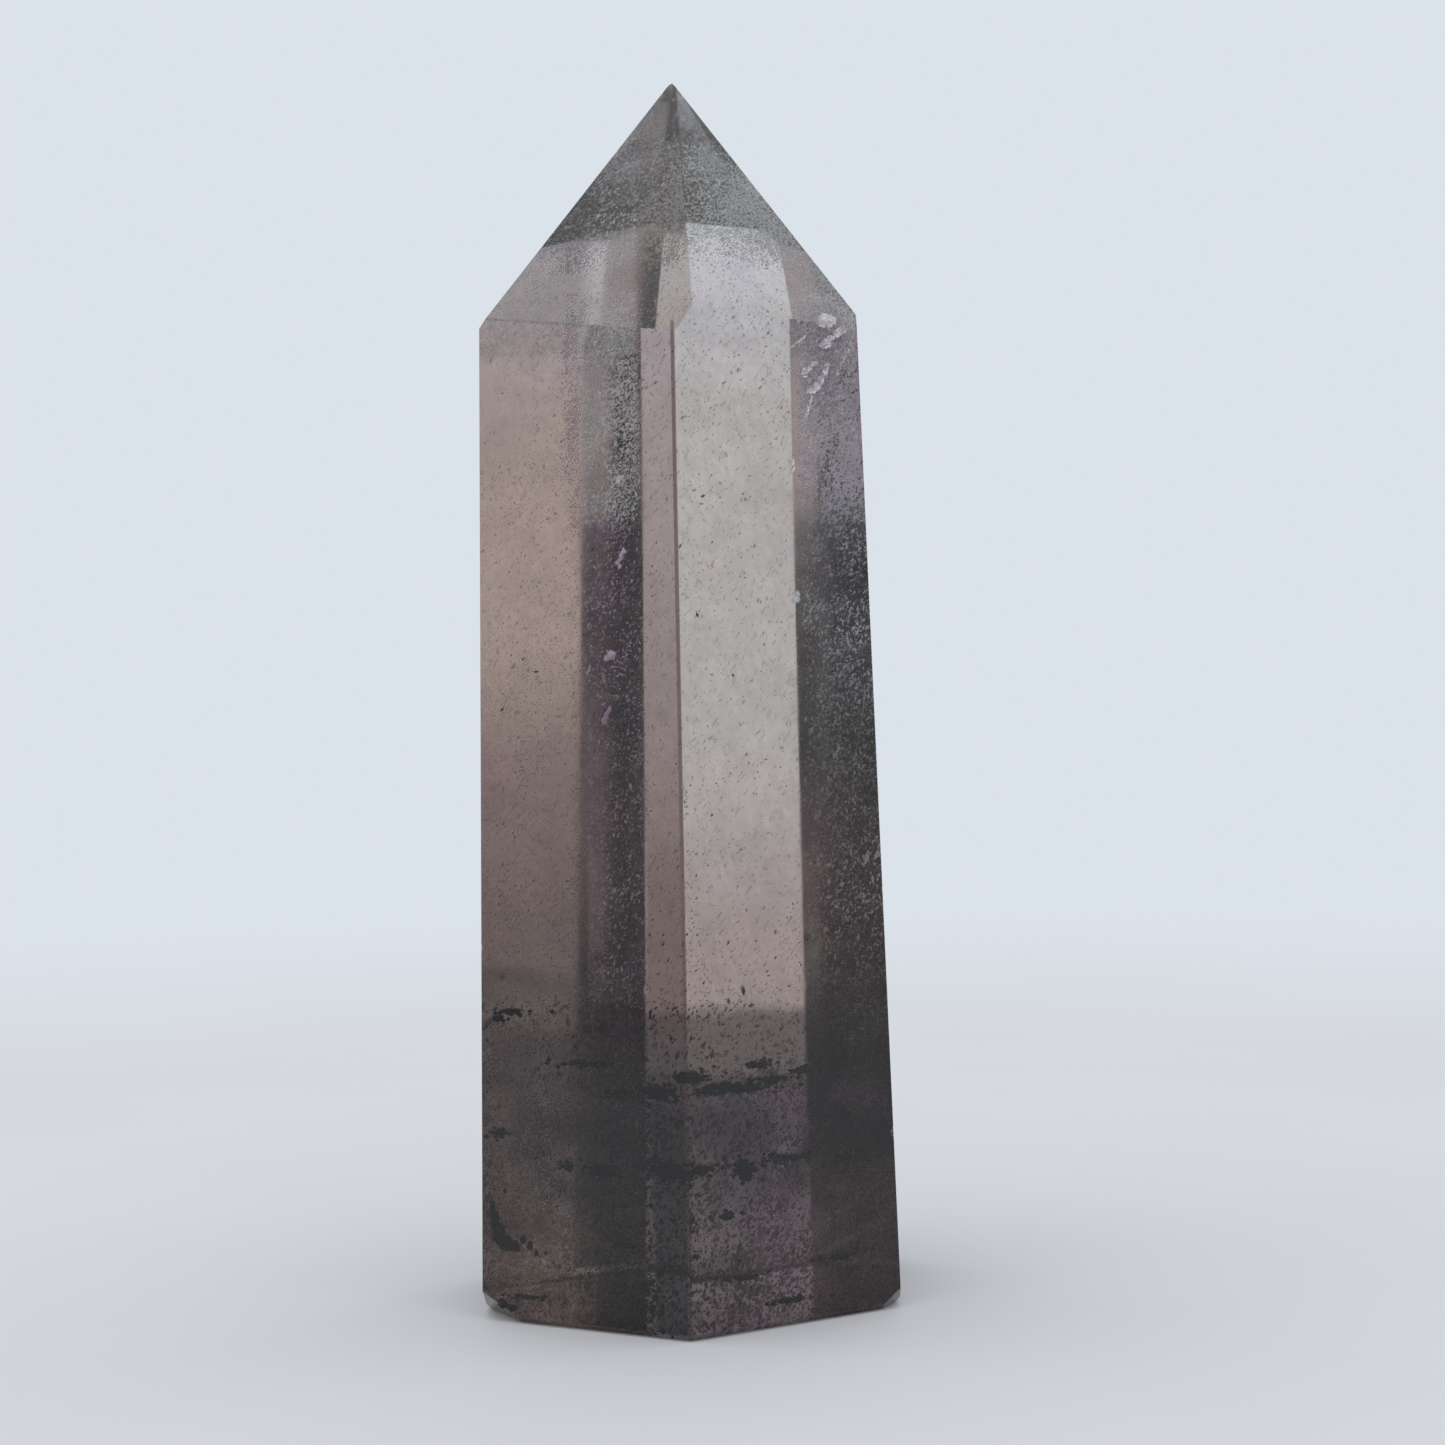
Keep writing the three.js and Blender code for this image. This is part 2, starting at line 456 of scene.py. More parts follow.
def mottle_group():
    """Cloudy and grainy masks over Object coordinates, for every mineral here"""
    name = "Crystal Mottle"
    if name in bpy.data.node_groups:
        return bpy.data.node_groups[name]
    tree = bpy.data.node_groups.new(name, "ShaderNodeTree")
    interface = tree.interface
    for socket, default in (("Cloud Scale", 120.0), ("Grain Scale", 2500.0), ("Slant", 0.55)):
        made = interface.new_socket(socket, in_out="INPUT", socket_type="NodeSocketFloat")
        made.default_value = default
    for socket in ("Cloud", "Grain"):
        interface.new_socket(socket, in_out="OUTPUT", socket_type="NodeSocketFloat")
    given = add_node(tree, "NodeGroupInput")
    coordinates = add_node(tree, "ShaderNodeTexCoord").outputs["Object"]
    turn = add_node(tree, "ShaderNodeCombineXYZ", {"Y": given.outputs["Slant"]}).outputs[0]
    slant = add_node(tree, "ShaderNodeVectorRotate", {
        "Vector": coordinates, "Rotation": turn}, rotation_type="EULER_XYZ").outputs[0]
    drawn = add_node(tree, "ShaderNodeVectorMath", {
        0: slant, 1: (1.0, 1.0, 0.45)}, operation="MULTIPLY").outputs[0]
    cloud = add_node(tree, "ShaderNodeTexNoise", {
        "Vector": coordinates, "Scale": given.outputs["Cloud Scale"], "Detail": 3.0, "Roughness": 0.55})
    grain = add_node(tree, "ShaderNodeTexNoise", {
        "Vector": drawn, "Scale": given.outputs["Grain Scale"], "Detail": 2.0, "Roughness": 0.6})
    add_node(tree, "NodeGroupOutput", {"Cloud": cloud.outputs[0], "Grain": grain.outputs[0]})
    return tree


def mottle(tree, **values):
    """The outputs of the mottle group, placed in a material with its own values"""
    return add_node(tree, "ShaderNodeGroup", {
        key.replace("_", " ").title(): value for key, value in values.items()
    }, node_tree=mottle_group()).outputs


def bare_material(name):
    """A material with nothing in it, and its node tree"""
    material = bpy.data.materials.new(name)
    material.use_nodes = True
    material.node_tree.nodes.clear()
    return material, material.node_tree


def colour_stops(tree, share, given):
    """A colour that changes with a share, through stops given as share and colour"""
    ramp = add_node(tree, "ShaderNodeValToRGB", {"Fac": share})
    stops = ramp.color_ramp.elements
    while len(stops) < len(given):
        stops.new(1.0)
    for stop, (level, colour) in zip(stops, given):
        stop.position = level
        stop.color = (*colour, 1.0)
    return ramp.outputs["Color"]


def height_zones(tree, height, zones):
    """A colour that changes with height, through zones given from the bottom up as height and colour"""
    stops = [(level / TOP, colour) for level, colour in zones]
    return colour_stops(tree, work_out(tree, "DIVIDE", height, TOP), stops)


def on_flat(tree, coordinates, flats, heading):
    """A mask that is one on the flat that faces a heading"""
    normal, distance = facing(flats, heading)
    along = add_node(tree, "ShaderNodeVectorMath", {0: coordinates, 1: normal}, operation="DOT_PRODUCT")
    return ramp_between(tree, along.outputs["Value"], distance - 0.12 * MM, distance - 0.06 * MM)


# Quartz

def zone_height(tree, look, place, cloud):
    """The height that the zones follow: it wanders a little, and dips towards the back"""
    wander = ramp_between(tree, cloud, 0.3, 0.7, -0.4 * MM, 0.4 * MM)
    dip = work_out(tree, "MULTIPLY", work_out(tree, "ADD", place["Y"], 10 * MM), look.murk_dip)
    return work_out(tree, "ADD", work_out(tree, "ADD", place["Z"], wander), dip)


def zone_tints(tree, look, height):
    """The tints by height: of the stone, the left front flat, its column and strip, and the far right. The
    column, strip and far right are painted shade, and the foot partly is
    """
    full, top = look.murk_full, look.murk_top
    # Darker shades for the lower ends of two zones: the far right one is painted shade
    faint = [0.72 * level for level in look.dusk_tint]
    deep_shade = [0.28 * level for level in look.grey_band_shade]
    foot = [(0.0085, look.murk_and_shade_tint), (full - 0.3 * MM, look.murk_and_shade_tint),
            (full + 0.3 * MM, look.haze_tint), (top - 0.3 * MM, look.haze_tint)]
    zones = {
        "stone": [
            (0.004, look.sole_tint), *foot, (top + 0.2 * MM, look.mist_tint), (0.0255, look.mist_tint),
            (0.037, look.clear_tint), (0.0615, look.clear_tint), (0.0632, look.pale_tint),
            (0.0675, look.pale_tint), (0.07, look.cool_tint)],
        "left": [
            (0.003, look.olive_tint), *foot, (top + 2 * MM, faint), (0.026, look.dusk_tint),
            (0.036, look.brown_tint), (0.043, look.peach_tint), (0.05, look.peach_tint),
            (0.06, look.rose_tint)],
        "column": [
            (full + 1.5 * MM, look.murk_and_shade_tint), (top + 2 * MM, look.plum_shade), (0.036, look.plum_shade),
            (0.043, look.purple_shade), (0.0497, look.purple_shade), (0.0503, look.moss_tint)],
        "strip": [
            (full - 2 * MM, look.shadow_tint), (full + 1.5 * MM, look.murk_and_shade_tint),
            (top + 0.5 * MM, look.strip_low_shade), (0.027, look.strip_low_shade), (0.036, look.brown_tint),
            (0.054, look.strip_high_shade)],
        "far_right": [
            (0.0085, look.stain_tint), (0.0105, look.shadow_tint), (0.0165, look.shadow_tint),
            (0.021, look.murk_and_shade_tint), (0.0265, look.mist_tint), (0.036, deep_shade),
            (0.043, look.grey_band_shade), (0.0505, look.grey_band_shade), (0.0535, look.violet_tint)],
    }
    return {name: height_zones(tree, height, given) for name, given in zones.items()}


def stained(tree, look, across, colour, clots, low):
    """A colour with lighter stains in the foot: brown on the left, purple on the right"""
    hue = blend_colours(tree, ramp_between(tree, across, *PURPLE_FOOT), look.stain_tint, look.bloom_tint)
    patchy = ramp_between(tree, clots, 0.54, 0.4, 0.0, 0.55)
    left_end = ramp_between(tree, across, *LEFT_END, 0.0, 0.85)
    share = overlap(tree, work_out(tree, "MAXIMUM", patchy, left_end), low)
    return blend_colours(tree, share, colour, hue)


def clotted(tree, look, colour, clots, dark):
    """A colour with faint blotches all over, and clots where the stone is dark"""
    colour = darken(tree, colour, ramp_between(tree, clots, 0.38, 0.62, 0.9, 1.0))
    share = overlap(tree, ramp_between(tree, clots, 0.46, 0.62), dark)
    return blend_colours(tree, share, colour, look.clot_tint, "MULTIPLY")


def quartz_material(look):
    """Clear smoky glass, whose tint changes from place to place, with painted shade in the dark bands and
    partly in the foot
    """
    material, tree = bare_material("smoky_quartz")
    coordinates = add_node(tree, "ShaderNodeTexCoord").outputs["Object"]
    place = add_node(tree, "ShaderNodeSeparateXYZ", {"Vector": coordinates}).outputs
    spots = mottle(tree, cloud_scale=110.0, grain_scale=2600.0, slant=0.55)
    clots = mottle(tree, cloud_scale=260.0, grain_scale=1500.0, slant=0.55)["Cloud"]
    wisps = mottle(tree, cloud_scale=420.0, grain_scale=900.0, slant=1.35)["Grain"]
    height = zone_height(tree, look, place, spots["Cloud"])
    flats = stone_flats()
    on_left, on_right, on_left_point = [
        on_flat(tree, coordinates, flats, heading) for heading in (FRONT_LEFT, FRONT_RIGHT, POINT_LEFT)]

    # The zones, with the upright bands of the two front flats: the column, the strip and the far right band
    # are painted shade
    tints = zone_tints(tree, look, height)
    column = overlap(tree, *[ramp_between(tree, place["X"], *side) for side in (COLUMN_LEFT, COLUMN_RIGHT)])
    strip = ramp_between(tree, place["X"], *STRIP_LEFT)
    far_right = overlap(tree, ramp_between(tree, place["X"], *FAR_RIGHT), on_right)
    left = blend_colours(tree, column, tints["left"], tints["column"])
    left = blend_colours(tree, strip, left, tints["strip"])
    point = blend_colours(
        tree, ramp_between(tree, place["X"], *POINT_PALE), look.mauve_tint, look.pale_tint)
    # The strip on the point is painted shade too
    point = blend_colours(tree, strip, point, look.sand_shade)
    colour = blend_colours(tree, on_left, tints["stone"], left)
    colour = blend_colours(tree, on_left_point, colour, point)
    colour = blend_colours(tree, far_right, colour, tints["far_right"])

    # Lilac patches, mostly towards the front
    in_front = ramp_between(tree, place["Y"], 0.002, -0.004, 0.2, 0.6)
    patches = overlap(tree, ramp_between(tree, spots["Cloud"], 0.5, 0.66), in_front)
    colour = blend_colours(tree, patches, colour, look.lilac_tint, "MULTIPLY")

    # Stains and clots in the foot off the shadow beside the front edge, and clots in the dark bands of
    # painted shade
    off_shadow = work_out(tree, "MAXIMUM", *[ramp_between(tree, place["X"], *side) for side in OFF_SHADOW])
    low = overlap(tree, ramp_between(tree, height, look.murk_full, look.murk_full - 2 * MM), off_shadow)
    bands = work_out(tree, "MAXIMUM", far_right, overlap(tree, column, on_left))
    bands = overlap(tree, bands, ramp_between(tree, height, 0.052, 0.0495))
    colour = stained(tree, look, place["X"], colour, clots, low)
    colour = clotted(tree, look, colour, clots, work_out(tree, "MAXIMUM", low, bands))

    # Wisps, the painted shade of a thin dark reddish line along the front edge, and fine grain
    colour = darken(tree, colour, ramp_between(tree, wisps, 0.35, 0.65, 0.9, 1.0))
    edge_shade = overlap(tree, ramp_between(tree, place["Y"], *EDGE_SHADE_FRONT),
                   ramp_between(tree, place["X"], *EDGE_SHADE_LEFT), ramp_between(tree, place["X"], *EDGE_SHADE_RIGHT))
    colour = blend_colours(tree, edge_shade, colour, look.edge_shade_tint)
    colour = darken(tree, colour, ramp_between(tree, spots["Grain"], 0.3, 0.7, 0.86, 1.0))

    dull = ramp_between(tree, spots["Cloud"], 0.35, 0.7, look.gloss_low, look.gloss_high)
    glass = add_node(tree, "ShaderNodeBsdfPrincipled", {
        "Base Color": colour, "Roughness": dull, "IOR": look.refraction, "Transmission Weight": 1.0})
    inside = add_node(tree, "ShaderNodeVolumeAbsorption", {
        "Color": (*look.smoke, 1.0), "Density": look.smoke_depth})
    add_node(tree, "ShaderNodeOutputMaterial", {"Surface": glass.outputs[0], "Volume": inside.outputs[0]})
    return material


# Enclosed minerals

def mineral_material(name, colour, change, rough, metallic=0.0, across=None):
    """A mineral whose colour wanders between two shades, over hues that may be given from left to right"""
    material, tree = bare_material(name)
    spots = mottle(tree, cloud_scale=400.0, grain_scale=5000.0, slant=0.55)
    shade = blend_colours(tree, ramp_between(tree, spots["Cloud"], 0.35, 0.65), colour, change)
    if across:
        coordinates = add_node(tree, "ShaderNodeTexCoord").outputs["Object"]
        place = add_node(tree, "ShaderNodeSeparateXYZ", {"Vector": coordinates}).outputs["X"]
        share = add_node(tree, "ShaderNodeMapRange", {"Value": place, "From Min": LEFT, "From Max": RIGHT})
        stops = [((x - LEFT) / (RIGHT - LEFT), hue) for x, hue in across]
        shade = darken(tree, shade, colour_stops(tree, share.outputs["Result"], stops))
    dull = ramp_between(tree, spots["Grain"], 0.3, 0.7, rough, min(1.0, rough + 0.25))
    surface = add_node(tree, "ShaderNodeBsdfPrincipled", {
        "Base Color": shade, "Roughness": dull, "Metallic": metallic})
    add_node(tree, "ShaderNodeOutputMaterial", {"Surface": surface.outputs[0]})
    return material


def scatter(held, name, colours, *, count, seed, size, box, clouds, wanted=None, across=None):
    """A piece of slanted specks that gather in clouds, in a box, where they are wanted"""
    rng = random.Random(seed)
    flats = stone_flats()
    spots = []
    upright = Quaternion((0, 1, 0), held.slant - math.pi / 2)
    while len(spots) < count:
        place = random_place(rng, flats, 0.3 * MM, box)
        # The clouds are drawn out along the slant, and the seed gives each piece its own
        x, y, z = (upright @ place) / clouds
        share = 0.5 + 1.1 * noise.noise(Vector((x + seed, y, z * 0.4)))
        if wanted:
            share *= wanted(place)
        if share < rng.random():
            continue
        half = size * rng.lognormvariate(-0.1, 0.45)
        spots.append(shaped(place, slanted(rng, held.slant, 0.5), [half * part for part in SPECK_SHAPE]))
    new_piece(name, repeated_crumbs(spots), mineral_material(name, *colours, 0.5, across=across))


# Operators

class QUARTZ_OT_stone(bpy.types.Operator):
    """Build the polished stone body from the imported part"""

    bl_idname = "quartz.stone"
    bl_label = "Stone"

    def execute(self, context):
        look = context.scene.quartz_stone
        bm = stone_bmesh()
        long_edges = [e for e in bm.edges if e.calc_length() > EDGE_LENGTH * look.edge_width
                      and e.calc_face_angle(0.0) > EDGE_TURN
                      and all(f.calc_area() > EDGE_FACE for f in e.link_faces)]
        bmesh.ops.bevel(
            bm, geom=long_edges, offset=look.edge_width, offset_type="OFFSET", affect="EDGES",
            segments=2, profile=0.5, material=-1, clamp_overlap=True)
        piece = new_piece("stone_body", bm, quartz_material(look))
        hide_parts(TOWER)
        return {"FINISHED"}


class QUARTZ_OT_specks(bpy.types.Operator):
    """Scatter dust, frost, murk and dark flecks through the stone"""

    bl_idname = "quartz.specks"
    bl_label = "Specks"

    def execute(self, context):
        held = context.scene.quartz_inclusions
        flats = stone_flats()
        fronts = [facing(flats, heading) for heading in (FRONT_LEFT, FRONT_RIGHT)]

        def off_bright_band(place):
            if place.z > SHOULDER:
                return 0.3
            return 0.25 if BRIGHT_LEFT < place.x < BRIGHT_RIGHT else 1.0

        def in_foot(place):
            front = depth_inside(fronts, place)
            low = thickening(0.3, place.z, 0.0163, 0.0153)
            if front < SKIN_DEPTH:
                return low * 0.04
            if front < MURK_DEPTH:
                return low
            return low * (0.26 if depth_inside(flats, place) < WALL_DEPTH else 0.06)

        scatter(held, "dust", (held.dust_colour, (0.95, 0.92, 0.97)), count=held.dust_count, seed=11,
                size=0.058 * MM, box=slab(0.0, TOP), clouds=5 * MM, wanted=off_bright_band)
        scatter(held, "frost", (held.pale_colour, (0.84, 0.87, 0.85)), count=held.frost_count, seed=12,
                size=0.085 * MM, box=slab(0.045, TOP), clouds=3 * MM,
                wanted=lambda place: share_between(place.z, 0.046, 0.068))
        scatter(held, "murk", (held.murk_colour, (1.0, 1.0, 1.0)), count=held.murk_count, seed=13,
                size=0.13 * MM, box=slab(0.0, 0.02), clouds=3 * MM, wanted=in_foot, across=MURK_HUES)
        scatter(held, "dark_flecks", (held.dark_colour, (0.1, 0.085, 0.1)), count=held.dark_count, seed=14,
                size=0.065 * MM, box=slab(0.012, 0.054), clouds=6 * MM)
        return {"FINISHED"}


class QUARTZ_OT_clouds(bpy.types.Operator):
    """Scatter the pale clouds in the point and close under the front flats"""

    bl_idname = "quartz.clouds"
    bl_label = "Clouds"

    def execute(self, context):
        held = context.scene.quartz_inclusions
        flats = stone_flats()

        def close_under(heading, place, reach):
            normal, distance = facing(flats, heading)
            return distance - normal.dot(place) < reach

        def in_point(place):
            if place.z < PATCH_TOP and place.x < BRIGHT_RIGHT:
                return 0.0
            return thickening(0.12, place.x, -0.0015, 0.003)

        def on_left(place):
            thick = thickening(0.16, place.z, 0.0485, 0.052)
            return thick * close_under(FRONT_LEFT, place, 3.2 * MM)

        def on_right(place):
            thick = thickening(0.1, place.z, 0.05, 0.0545)
            return thick * close_under(FRONT_RIGHT, place, 3.2 * MM)

        def on_left_point(place):
            # The veil ends above along a line that rises to the right
            line = 0.0684 + 0.37 * (place.x + 0.0077)
            return close_under(POINT_LEFT, place, 1.6 * MM) * share_between(line - place.z, 0.0, 0.0006)

        white, cool, mauve = (0.96, 0.97, 0.98), (0.9, 0.93, 0.95), (0.9, 0.84, 0.9)
        scatter(held, "point_cloud", (white, cool), count=held.point_cloud_count, seed=15,
                size=0.072 * MM, box=slab(0.063, 0.0748), clouds=2 * MM, wanted=in_point)
        scatter(held, "left_cloud", (white, mauve), count=held.left_cloud_count, seed=16,
                size=0.072 * MM, box=slab(0.02, 0.0645, -6.7 * MM, -1.9 * MM), clouds=1.8 * MM,
                wanted=on_left)
        scatter(held, "right_cloud", (white, mauve), count=held.right_cloud_count, seed=17,
                size=0.094 * MM, box=slab(0.017, 0.0645, 7.4 * MM, 12.6 * MM), clouds=1.8 * MM,
                wanted=on_right)
        scatter(held, "point_veil", (white, mauve), count=held.point_veil_count, seed=18,
                size=0.08 * MM, box=slab(0.066, 0.072, -8.4 * MM, 0.4 * MM), clouds=2 * MM,
                wanted=on_left_point)
        return {"FINISHED"}


class QUARTZ_OT_needles(bpy.types.Operator):
    """Scatter pale slanted needles through the stone"""

    bl_idname = "quartz.needles"
    bl_label = "Needles"

    def execute(self, context):
        held = context.scene.quartz_inclusions
        flats = stone_flats()
        rng = random.Random(21)
        spots = []
        for _ in range(held.needle_count):
            place = random_place(rng, flats, 0.9 * MM, slab(0.0, TOP))
            length = rng.uniform(0.15, 0.4) * MM
            spots.append(shaped(place, slanted(rng, held.slant, 0.2), (0.025 * MM, 0.02 * MM, length)))
        material = mineral_material("pale_mineral", held.pale_colour, (0.6, 0.58, 0.62), 0.5)
        new_piece("needles", repeated_crumbs(spots), material)
        return {"FINISHED"}


class QUARTZ_OT_layers(bpy.types.Operator):
    """Lay the dark flecks that sit in level layers in the foot"""

    bl_idname = "quartz.layers"
    bl_label = "Dark layers"

    def execute(self, context):
        flats = stone_flats()
        rng = random.Random(31)
        spots = []
        # Each group in millimetres: X and Z of its middle, half length, half thickness, reach inwards; crumbs
        groups = (
            (-2.1, 15.0, 0.7, 0.22, 0.48, 220), (0.4, 15.9, 0.7, 0.16, 0.72, 140),
            (1.9, 15.1, 0.8, 0.15, 0.48, 180), (3.5, 14.9, 0.8, 0.13, 0.42, 180),
            (5.4, 15.3, 0.4, 0.1, 0.54, 80), (7.2, 15.7, 0.35, 0.1, 0.48, 48),
            (4.6, 16.2, 0.5, 0.1, 1.5, 60), (-4.4, 14.6, 0.5, 0.12, 0.9, 60),
            (-7.9, 10.0, 0.3, 0.1, 0.48, 60), (-5.7, 9.9, 0.55, 0.16, 0.48, 160),
            (-1.4, 10.2, 0.6, 0.24, 0.36, 380), (0.8, 10.2, 0.5, 0.13, 0.36, 140),
            (3.5, 9.9, 0.4, 0.26, 0.42, 200), (6.2, 10.3, 0.8, 0.1, 1.2, 100),
            (9.9, 9.9, 0.5, 0.12, 0.54, 72), (9.6, 3.7, 0.7, 0.09, 0.48, 92),
            (3.4, 3.3, 0.6, 0.06, 0.48, 52), (2.4, 7.2, 0.25, 0.1, 0.42, 44),
            (-4.3, 5.4, 0.35, 0.1, 0.42, 52), (-3.0, 3.2, 0.25, 0.1, 0.42, 36),
            (-11.2, 19.5, 0.9, 0.1, 0.48, 40), (-12.2, 19.0, 0.4, 0.08, 0.42, 16),
            (-12.2, 11.8, 0.35, 0.1, 0.42, 44), (-10.6, 1.6, 0.7, 0.06, 0.42, 52),
            (6.4, 1.5, 0.8, 0.06, 0.54, 60), (-7.0, 16.4, 1.1, 0.08, 1.5, 60),
        )
        for x, z, long, thick, reach, crumbs in groups:
            heading = FRONT_LEFT if x < 0 else FRONT_RIGHT
            outwards = facing(flats, heading)[0]
            middle = under_flat(flats, heading, x * MM, z * MM, 0.42 * MM)
            across = outwards.cross(Vector((0, 0, 1))).normalized()
            for _ in range(crumbs):
                # Most crumbs gather in the middle of their group, and some stray
                spread = rng.choice((0.6, 0.6, 1.0, 1.7))
                aside = across * rng.gauss(0, spread * long * MM)
                inwards = -outwards * rng.uniform(0.0, reach * MM)
                place = middle + aside + inwards + Vector((0, 0, rng.gauss(0, 1.1 * spread * thick * MM)))
                if depth_inside(flats, place) < 0.3 * MM:
                    continue
                half = rng.uniform(0.06, 0.3) * MM
                turn = Matrix.Rotation(rng.uniform(0, math.tau), 4, "Z")
                spots.append(shaped(place, turn, (half, half, half * 0.6)))
        material = mineral_material("black_mineral", (0.012, 0.011, 0.012), (0.04, 0.033, 0.035), 0.45)
        new_piece("dark_layers", repeated_crumbs(spots), material)
        return {"FINISHED"}


class QUARTZ_OT_fractures(bpy.types.Operator):
    """Set the white fracture strands below the right shoulder, the glints, and one long healed crack"""

    bl_idname = "quartz.fractures"
    bl_label = "Fractures"

    def execute(self, context):
        held = context.scene.quartz_inclusions
        flats = stone_flats()
        rng = random.Random(41)
        strands = self.lay_strands(rng, flats, held.slant)
        glints = self.lay_glints(rng, flats)
        crack = self.lay_crack(rng, flats)
        material = mineral_material(
            "fracture_glint", (0.96, 0.96, 0.97), (0.86, 0.84, 0.88), 0.22, metallic=0.85)
        new_piece("fractures", repeated_crumbs(strands + glints + crack), material)
        return {"FINISHED"}

    def lay_strands(self, rng, flats, slant):
        """Fine strands along a line up to the right, under the right front flat"""
        spots = []
        for _ in range(200):
            along = rng.random()
            x = 7.9 + 3.2 * along + rng.gauss(0, 0.5)
            z = 55.6 + 7.2 * along + rng.gauss(0, 0.7)
            place = under_flat(flats, FRONT_RIGHT, x * MM, z * MM, rng.uniform(0.35, 1.3) * MM)
            if depth_inside(flats, place) < 0.25 * MM:
                continue
            half = rng.lognormvariate(-1.35, 0.4) * MM
            sizes = (rng.uniform(0.03, 0.06) * MM, 0.03 * MM, half)
            spots.append(shaped(place, slanted(rng, slant, 0.3), sizes))
        return spots

    def lay_glints(self, rng, flats):
        """Bright strokes of flat crumbs that face so that they show the light above to the front"""
        spots = []
        # Each stroke in millimetres: X and Z of both ends, half width; crumbs
        strokes = (
            (9.3, 61.3, 10.9, 62.4, 0.12, 34), (9.7, 61.2, 9.95, 61.5, 0.14, 10),
            (8.7, 58.3, 9.2, 58.9, 0.15, 16), (9.2, 58.9, 9.8, 60.1, 0.1, 22),
            (8.3, 56.7, 8.7, 58.1, 0.06, 16), (9.5, 62.8, 10.7, 63.6, 0.24, 70),
            (7.4, 61.0, 8.3, 61.8, 0.05, 12), (10.3, 59.4, 11.3, 61.6, 0.05, 20),
            (8.1, 59.3, 8.9, 60.2, 0.09, 16), (7.2, 53.3, 7.4, 53.8, 0.12, 8),
            (7.3, 45.0, 7.5, 45.5, 0.12, 8), (2.1, 47.0, 2.3, 47.5, 0.1, 6),
            (-5.0, 37.6, -4.6, 38.5, 0.1, 12), (-3.9, 47.3, -3.5, 48.3, 0.09, 12),
            (-4.7, 41.6, -4.3, 41.9, 0.16, 9), (10.3, 17.2, 10.6, 17.5, 0.12, 8),
            (-3.9, 52.5, -3.7, 52.8, 0.1, 6), (8.4, 31.3, 8.7, 31.8, 0.08, 6),
            (9.7, 35.2, 10.0, 35.8, 0.07, 8), (8.6, 12.0, 9.0, 12.4, 0.09, 7),
            (-8.2, 15.1, -7.9, 15.5, 0.09, 6),
        )
        for x0, z0, x1, z1, wide, crumbs in strokes:
            heading = FRONT_LEFT if x0 < 0 else FRONT_RIGHT
            sideways = math.copysign(GLINT_FACE.x, x0)
            for step in range(crumbs):
                share = (step + rng.random()) / crumbs
                x = x0 + (x1 - x0) * share + rng.gauss(0, wide * 0.6)
                z = z0 + (z1 - z0) * share + rng.gauss(0, wide * 0.6)
                place = under_flat(flats, heading, x * MM, z * MM, rng.uniform(0.3, 0.6) * MM)
                if depth_inside(flats, place) < 0.2 * MM:
                    continue
                face = Vector((sideways, GLINT_FACE.y, GLINT_FACE.z))
                face += Vector([rng.gauss(0, 0.04) for _ in range(3)])
                along = Vector((x1 - x0, 0, z1 - z0)).normalized()
                along += Vector([rng.gauss(0, 0.25) for _ in range(3)])
                sizes = (GLINT_WIDTH * wide * MM, GLINT_THICKNESS * wide * MM, wide * MM + GLINT_LONGER)
                spots.append(shaped(place, laid_flat(face, along), sizes))
        return spots

    def lay_crack(self, rng, flats):
        """The healed crack on the right, which bows to the left from its top"""
        spots = []
        steps = 15
        for step in range(steps):
            down = step / (steps - 1)
            x = 11.75 - 0.75 * down ** 1.8
            z = 39.6 - 4.5 * down
            place = under_flat(flats, FRONT_RIGHT, x * MM, z * MM, 0.5 * MM)
            lean = math.pi / 2 - math.radians(6 + 9 * down)
            spots.append(shaped(place, slanted(rng, lean, 0.02), (0.03 * MM, 0.03 * MM, 0.26 * MM)))
        return spots


class QUARTZ_OT_plum(bpy.types.Operator):
    """Set the dark plum patch and the dark corner low on the left front flat"""

    bl_idname = "quartz.plum"
    bl_label = "Plum patch"

    def execute(self, context):
        held = context.scene.quartz_inclusions
        flats = stone_flats()
        # Each lump in millimetres: X and Z of its middle, half width, half height
        lumps = (
            (-12.75, 7.0, 0.22, 0.5), (-12.6, 6.2, 0.36, 0.6), (-12.35, 5.4, 0.5, 0.65),
            (-11.9, 4.85, 0.6, 0.5), (-11.3, 4.75, 0.42, 0.34), (-10.75, 5.2, 0.22, 0.26),
            (-10.3, 4.9, 0.2, 0.28), (-9.9, 4.4, 0.13, 0.2), (-9.3, 4.5, 0.09, 0.14),
            (-11.9, 8.2, 0.12, 0.16), (-12.2, 1.05, 0.45, 0.3), (-11.5, 0.85, 0.34, 0.22),
        )
        turn = Vector((0, -1, 0)).rotation_difference(FRONT_LEFT).to_matrix().to_4x4()
        bm = bmesh.new()
        for x, z, wide, high in lumps:
            place = under_flat(flats, FRONT_LEFT, x * MM, z * MM, 0.4 * MM)
            verts = bmesh.ops.create_icosphere(bm, subdivisions=3, radius=1.0)["verts"]
            for vert in verts:
                vert.co *= 1.0 + 0.45 * noise.noise(vert.co * 2.4 + Vector((x, 0, z)))
            sizes = (wide * MM, 0.2 * MM, high * MM)
            bmesh.ops.transform(bm, matrix=shaped(place, turn, sizes), verts=verts)
        material = mineral_material("plum_mineral", held.plum_colour, (0.02, 0.022, 0.022), 0.4)
        new_piece("plum_patch", bm, material)
        return {"FINISHED"}


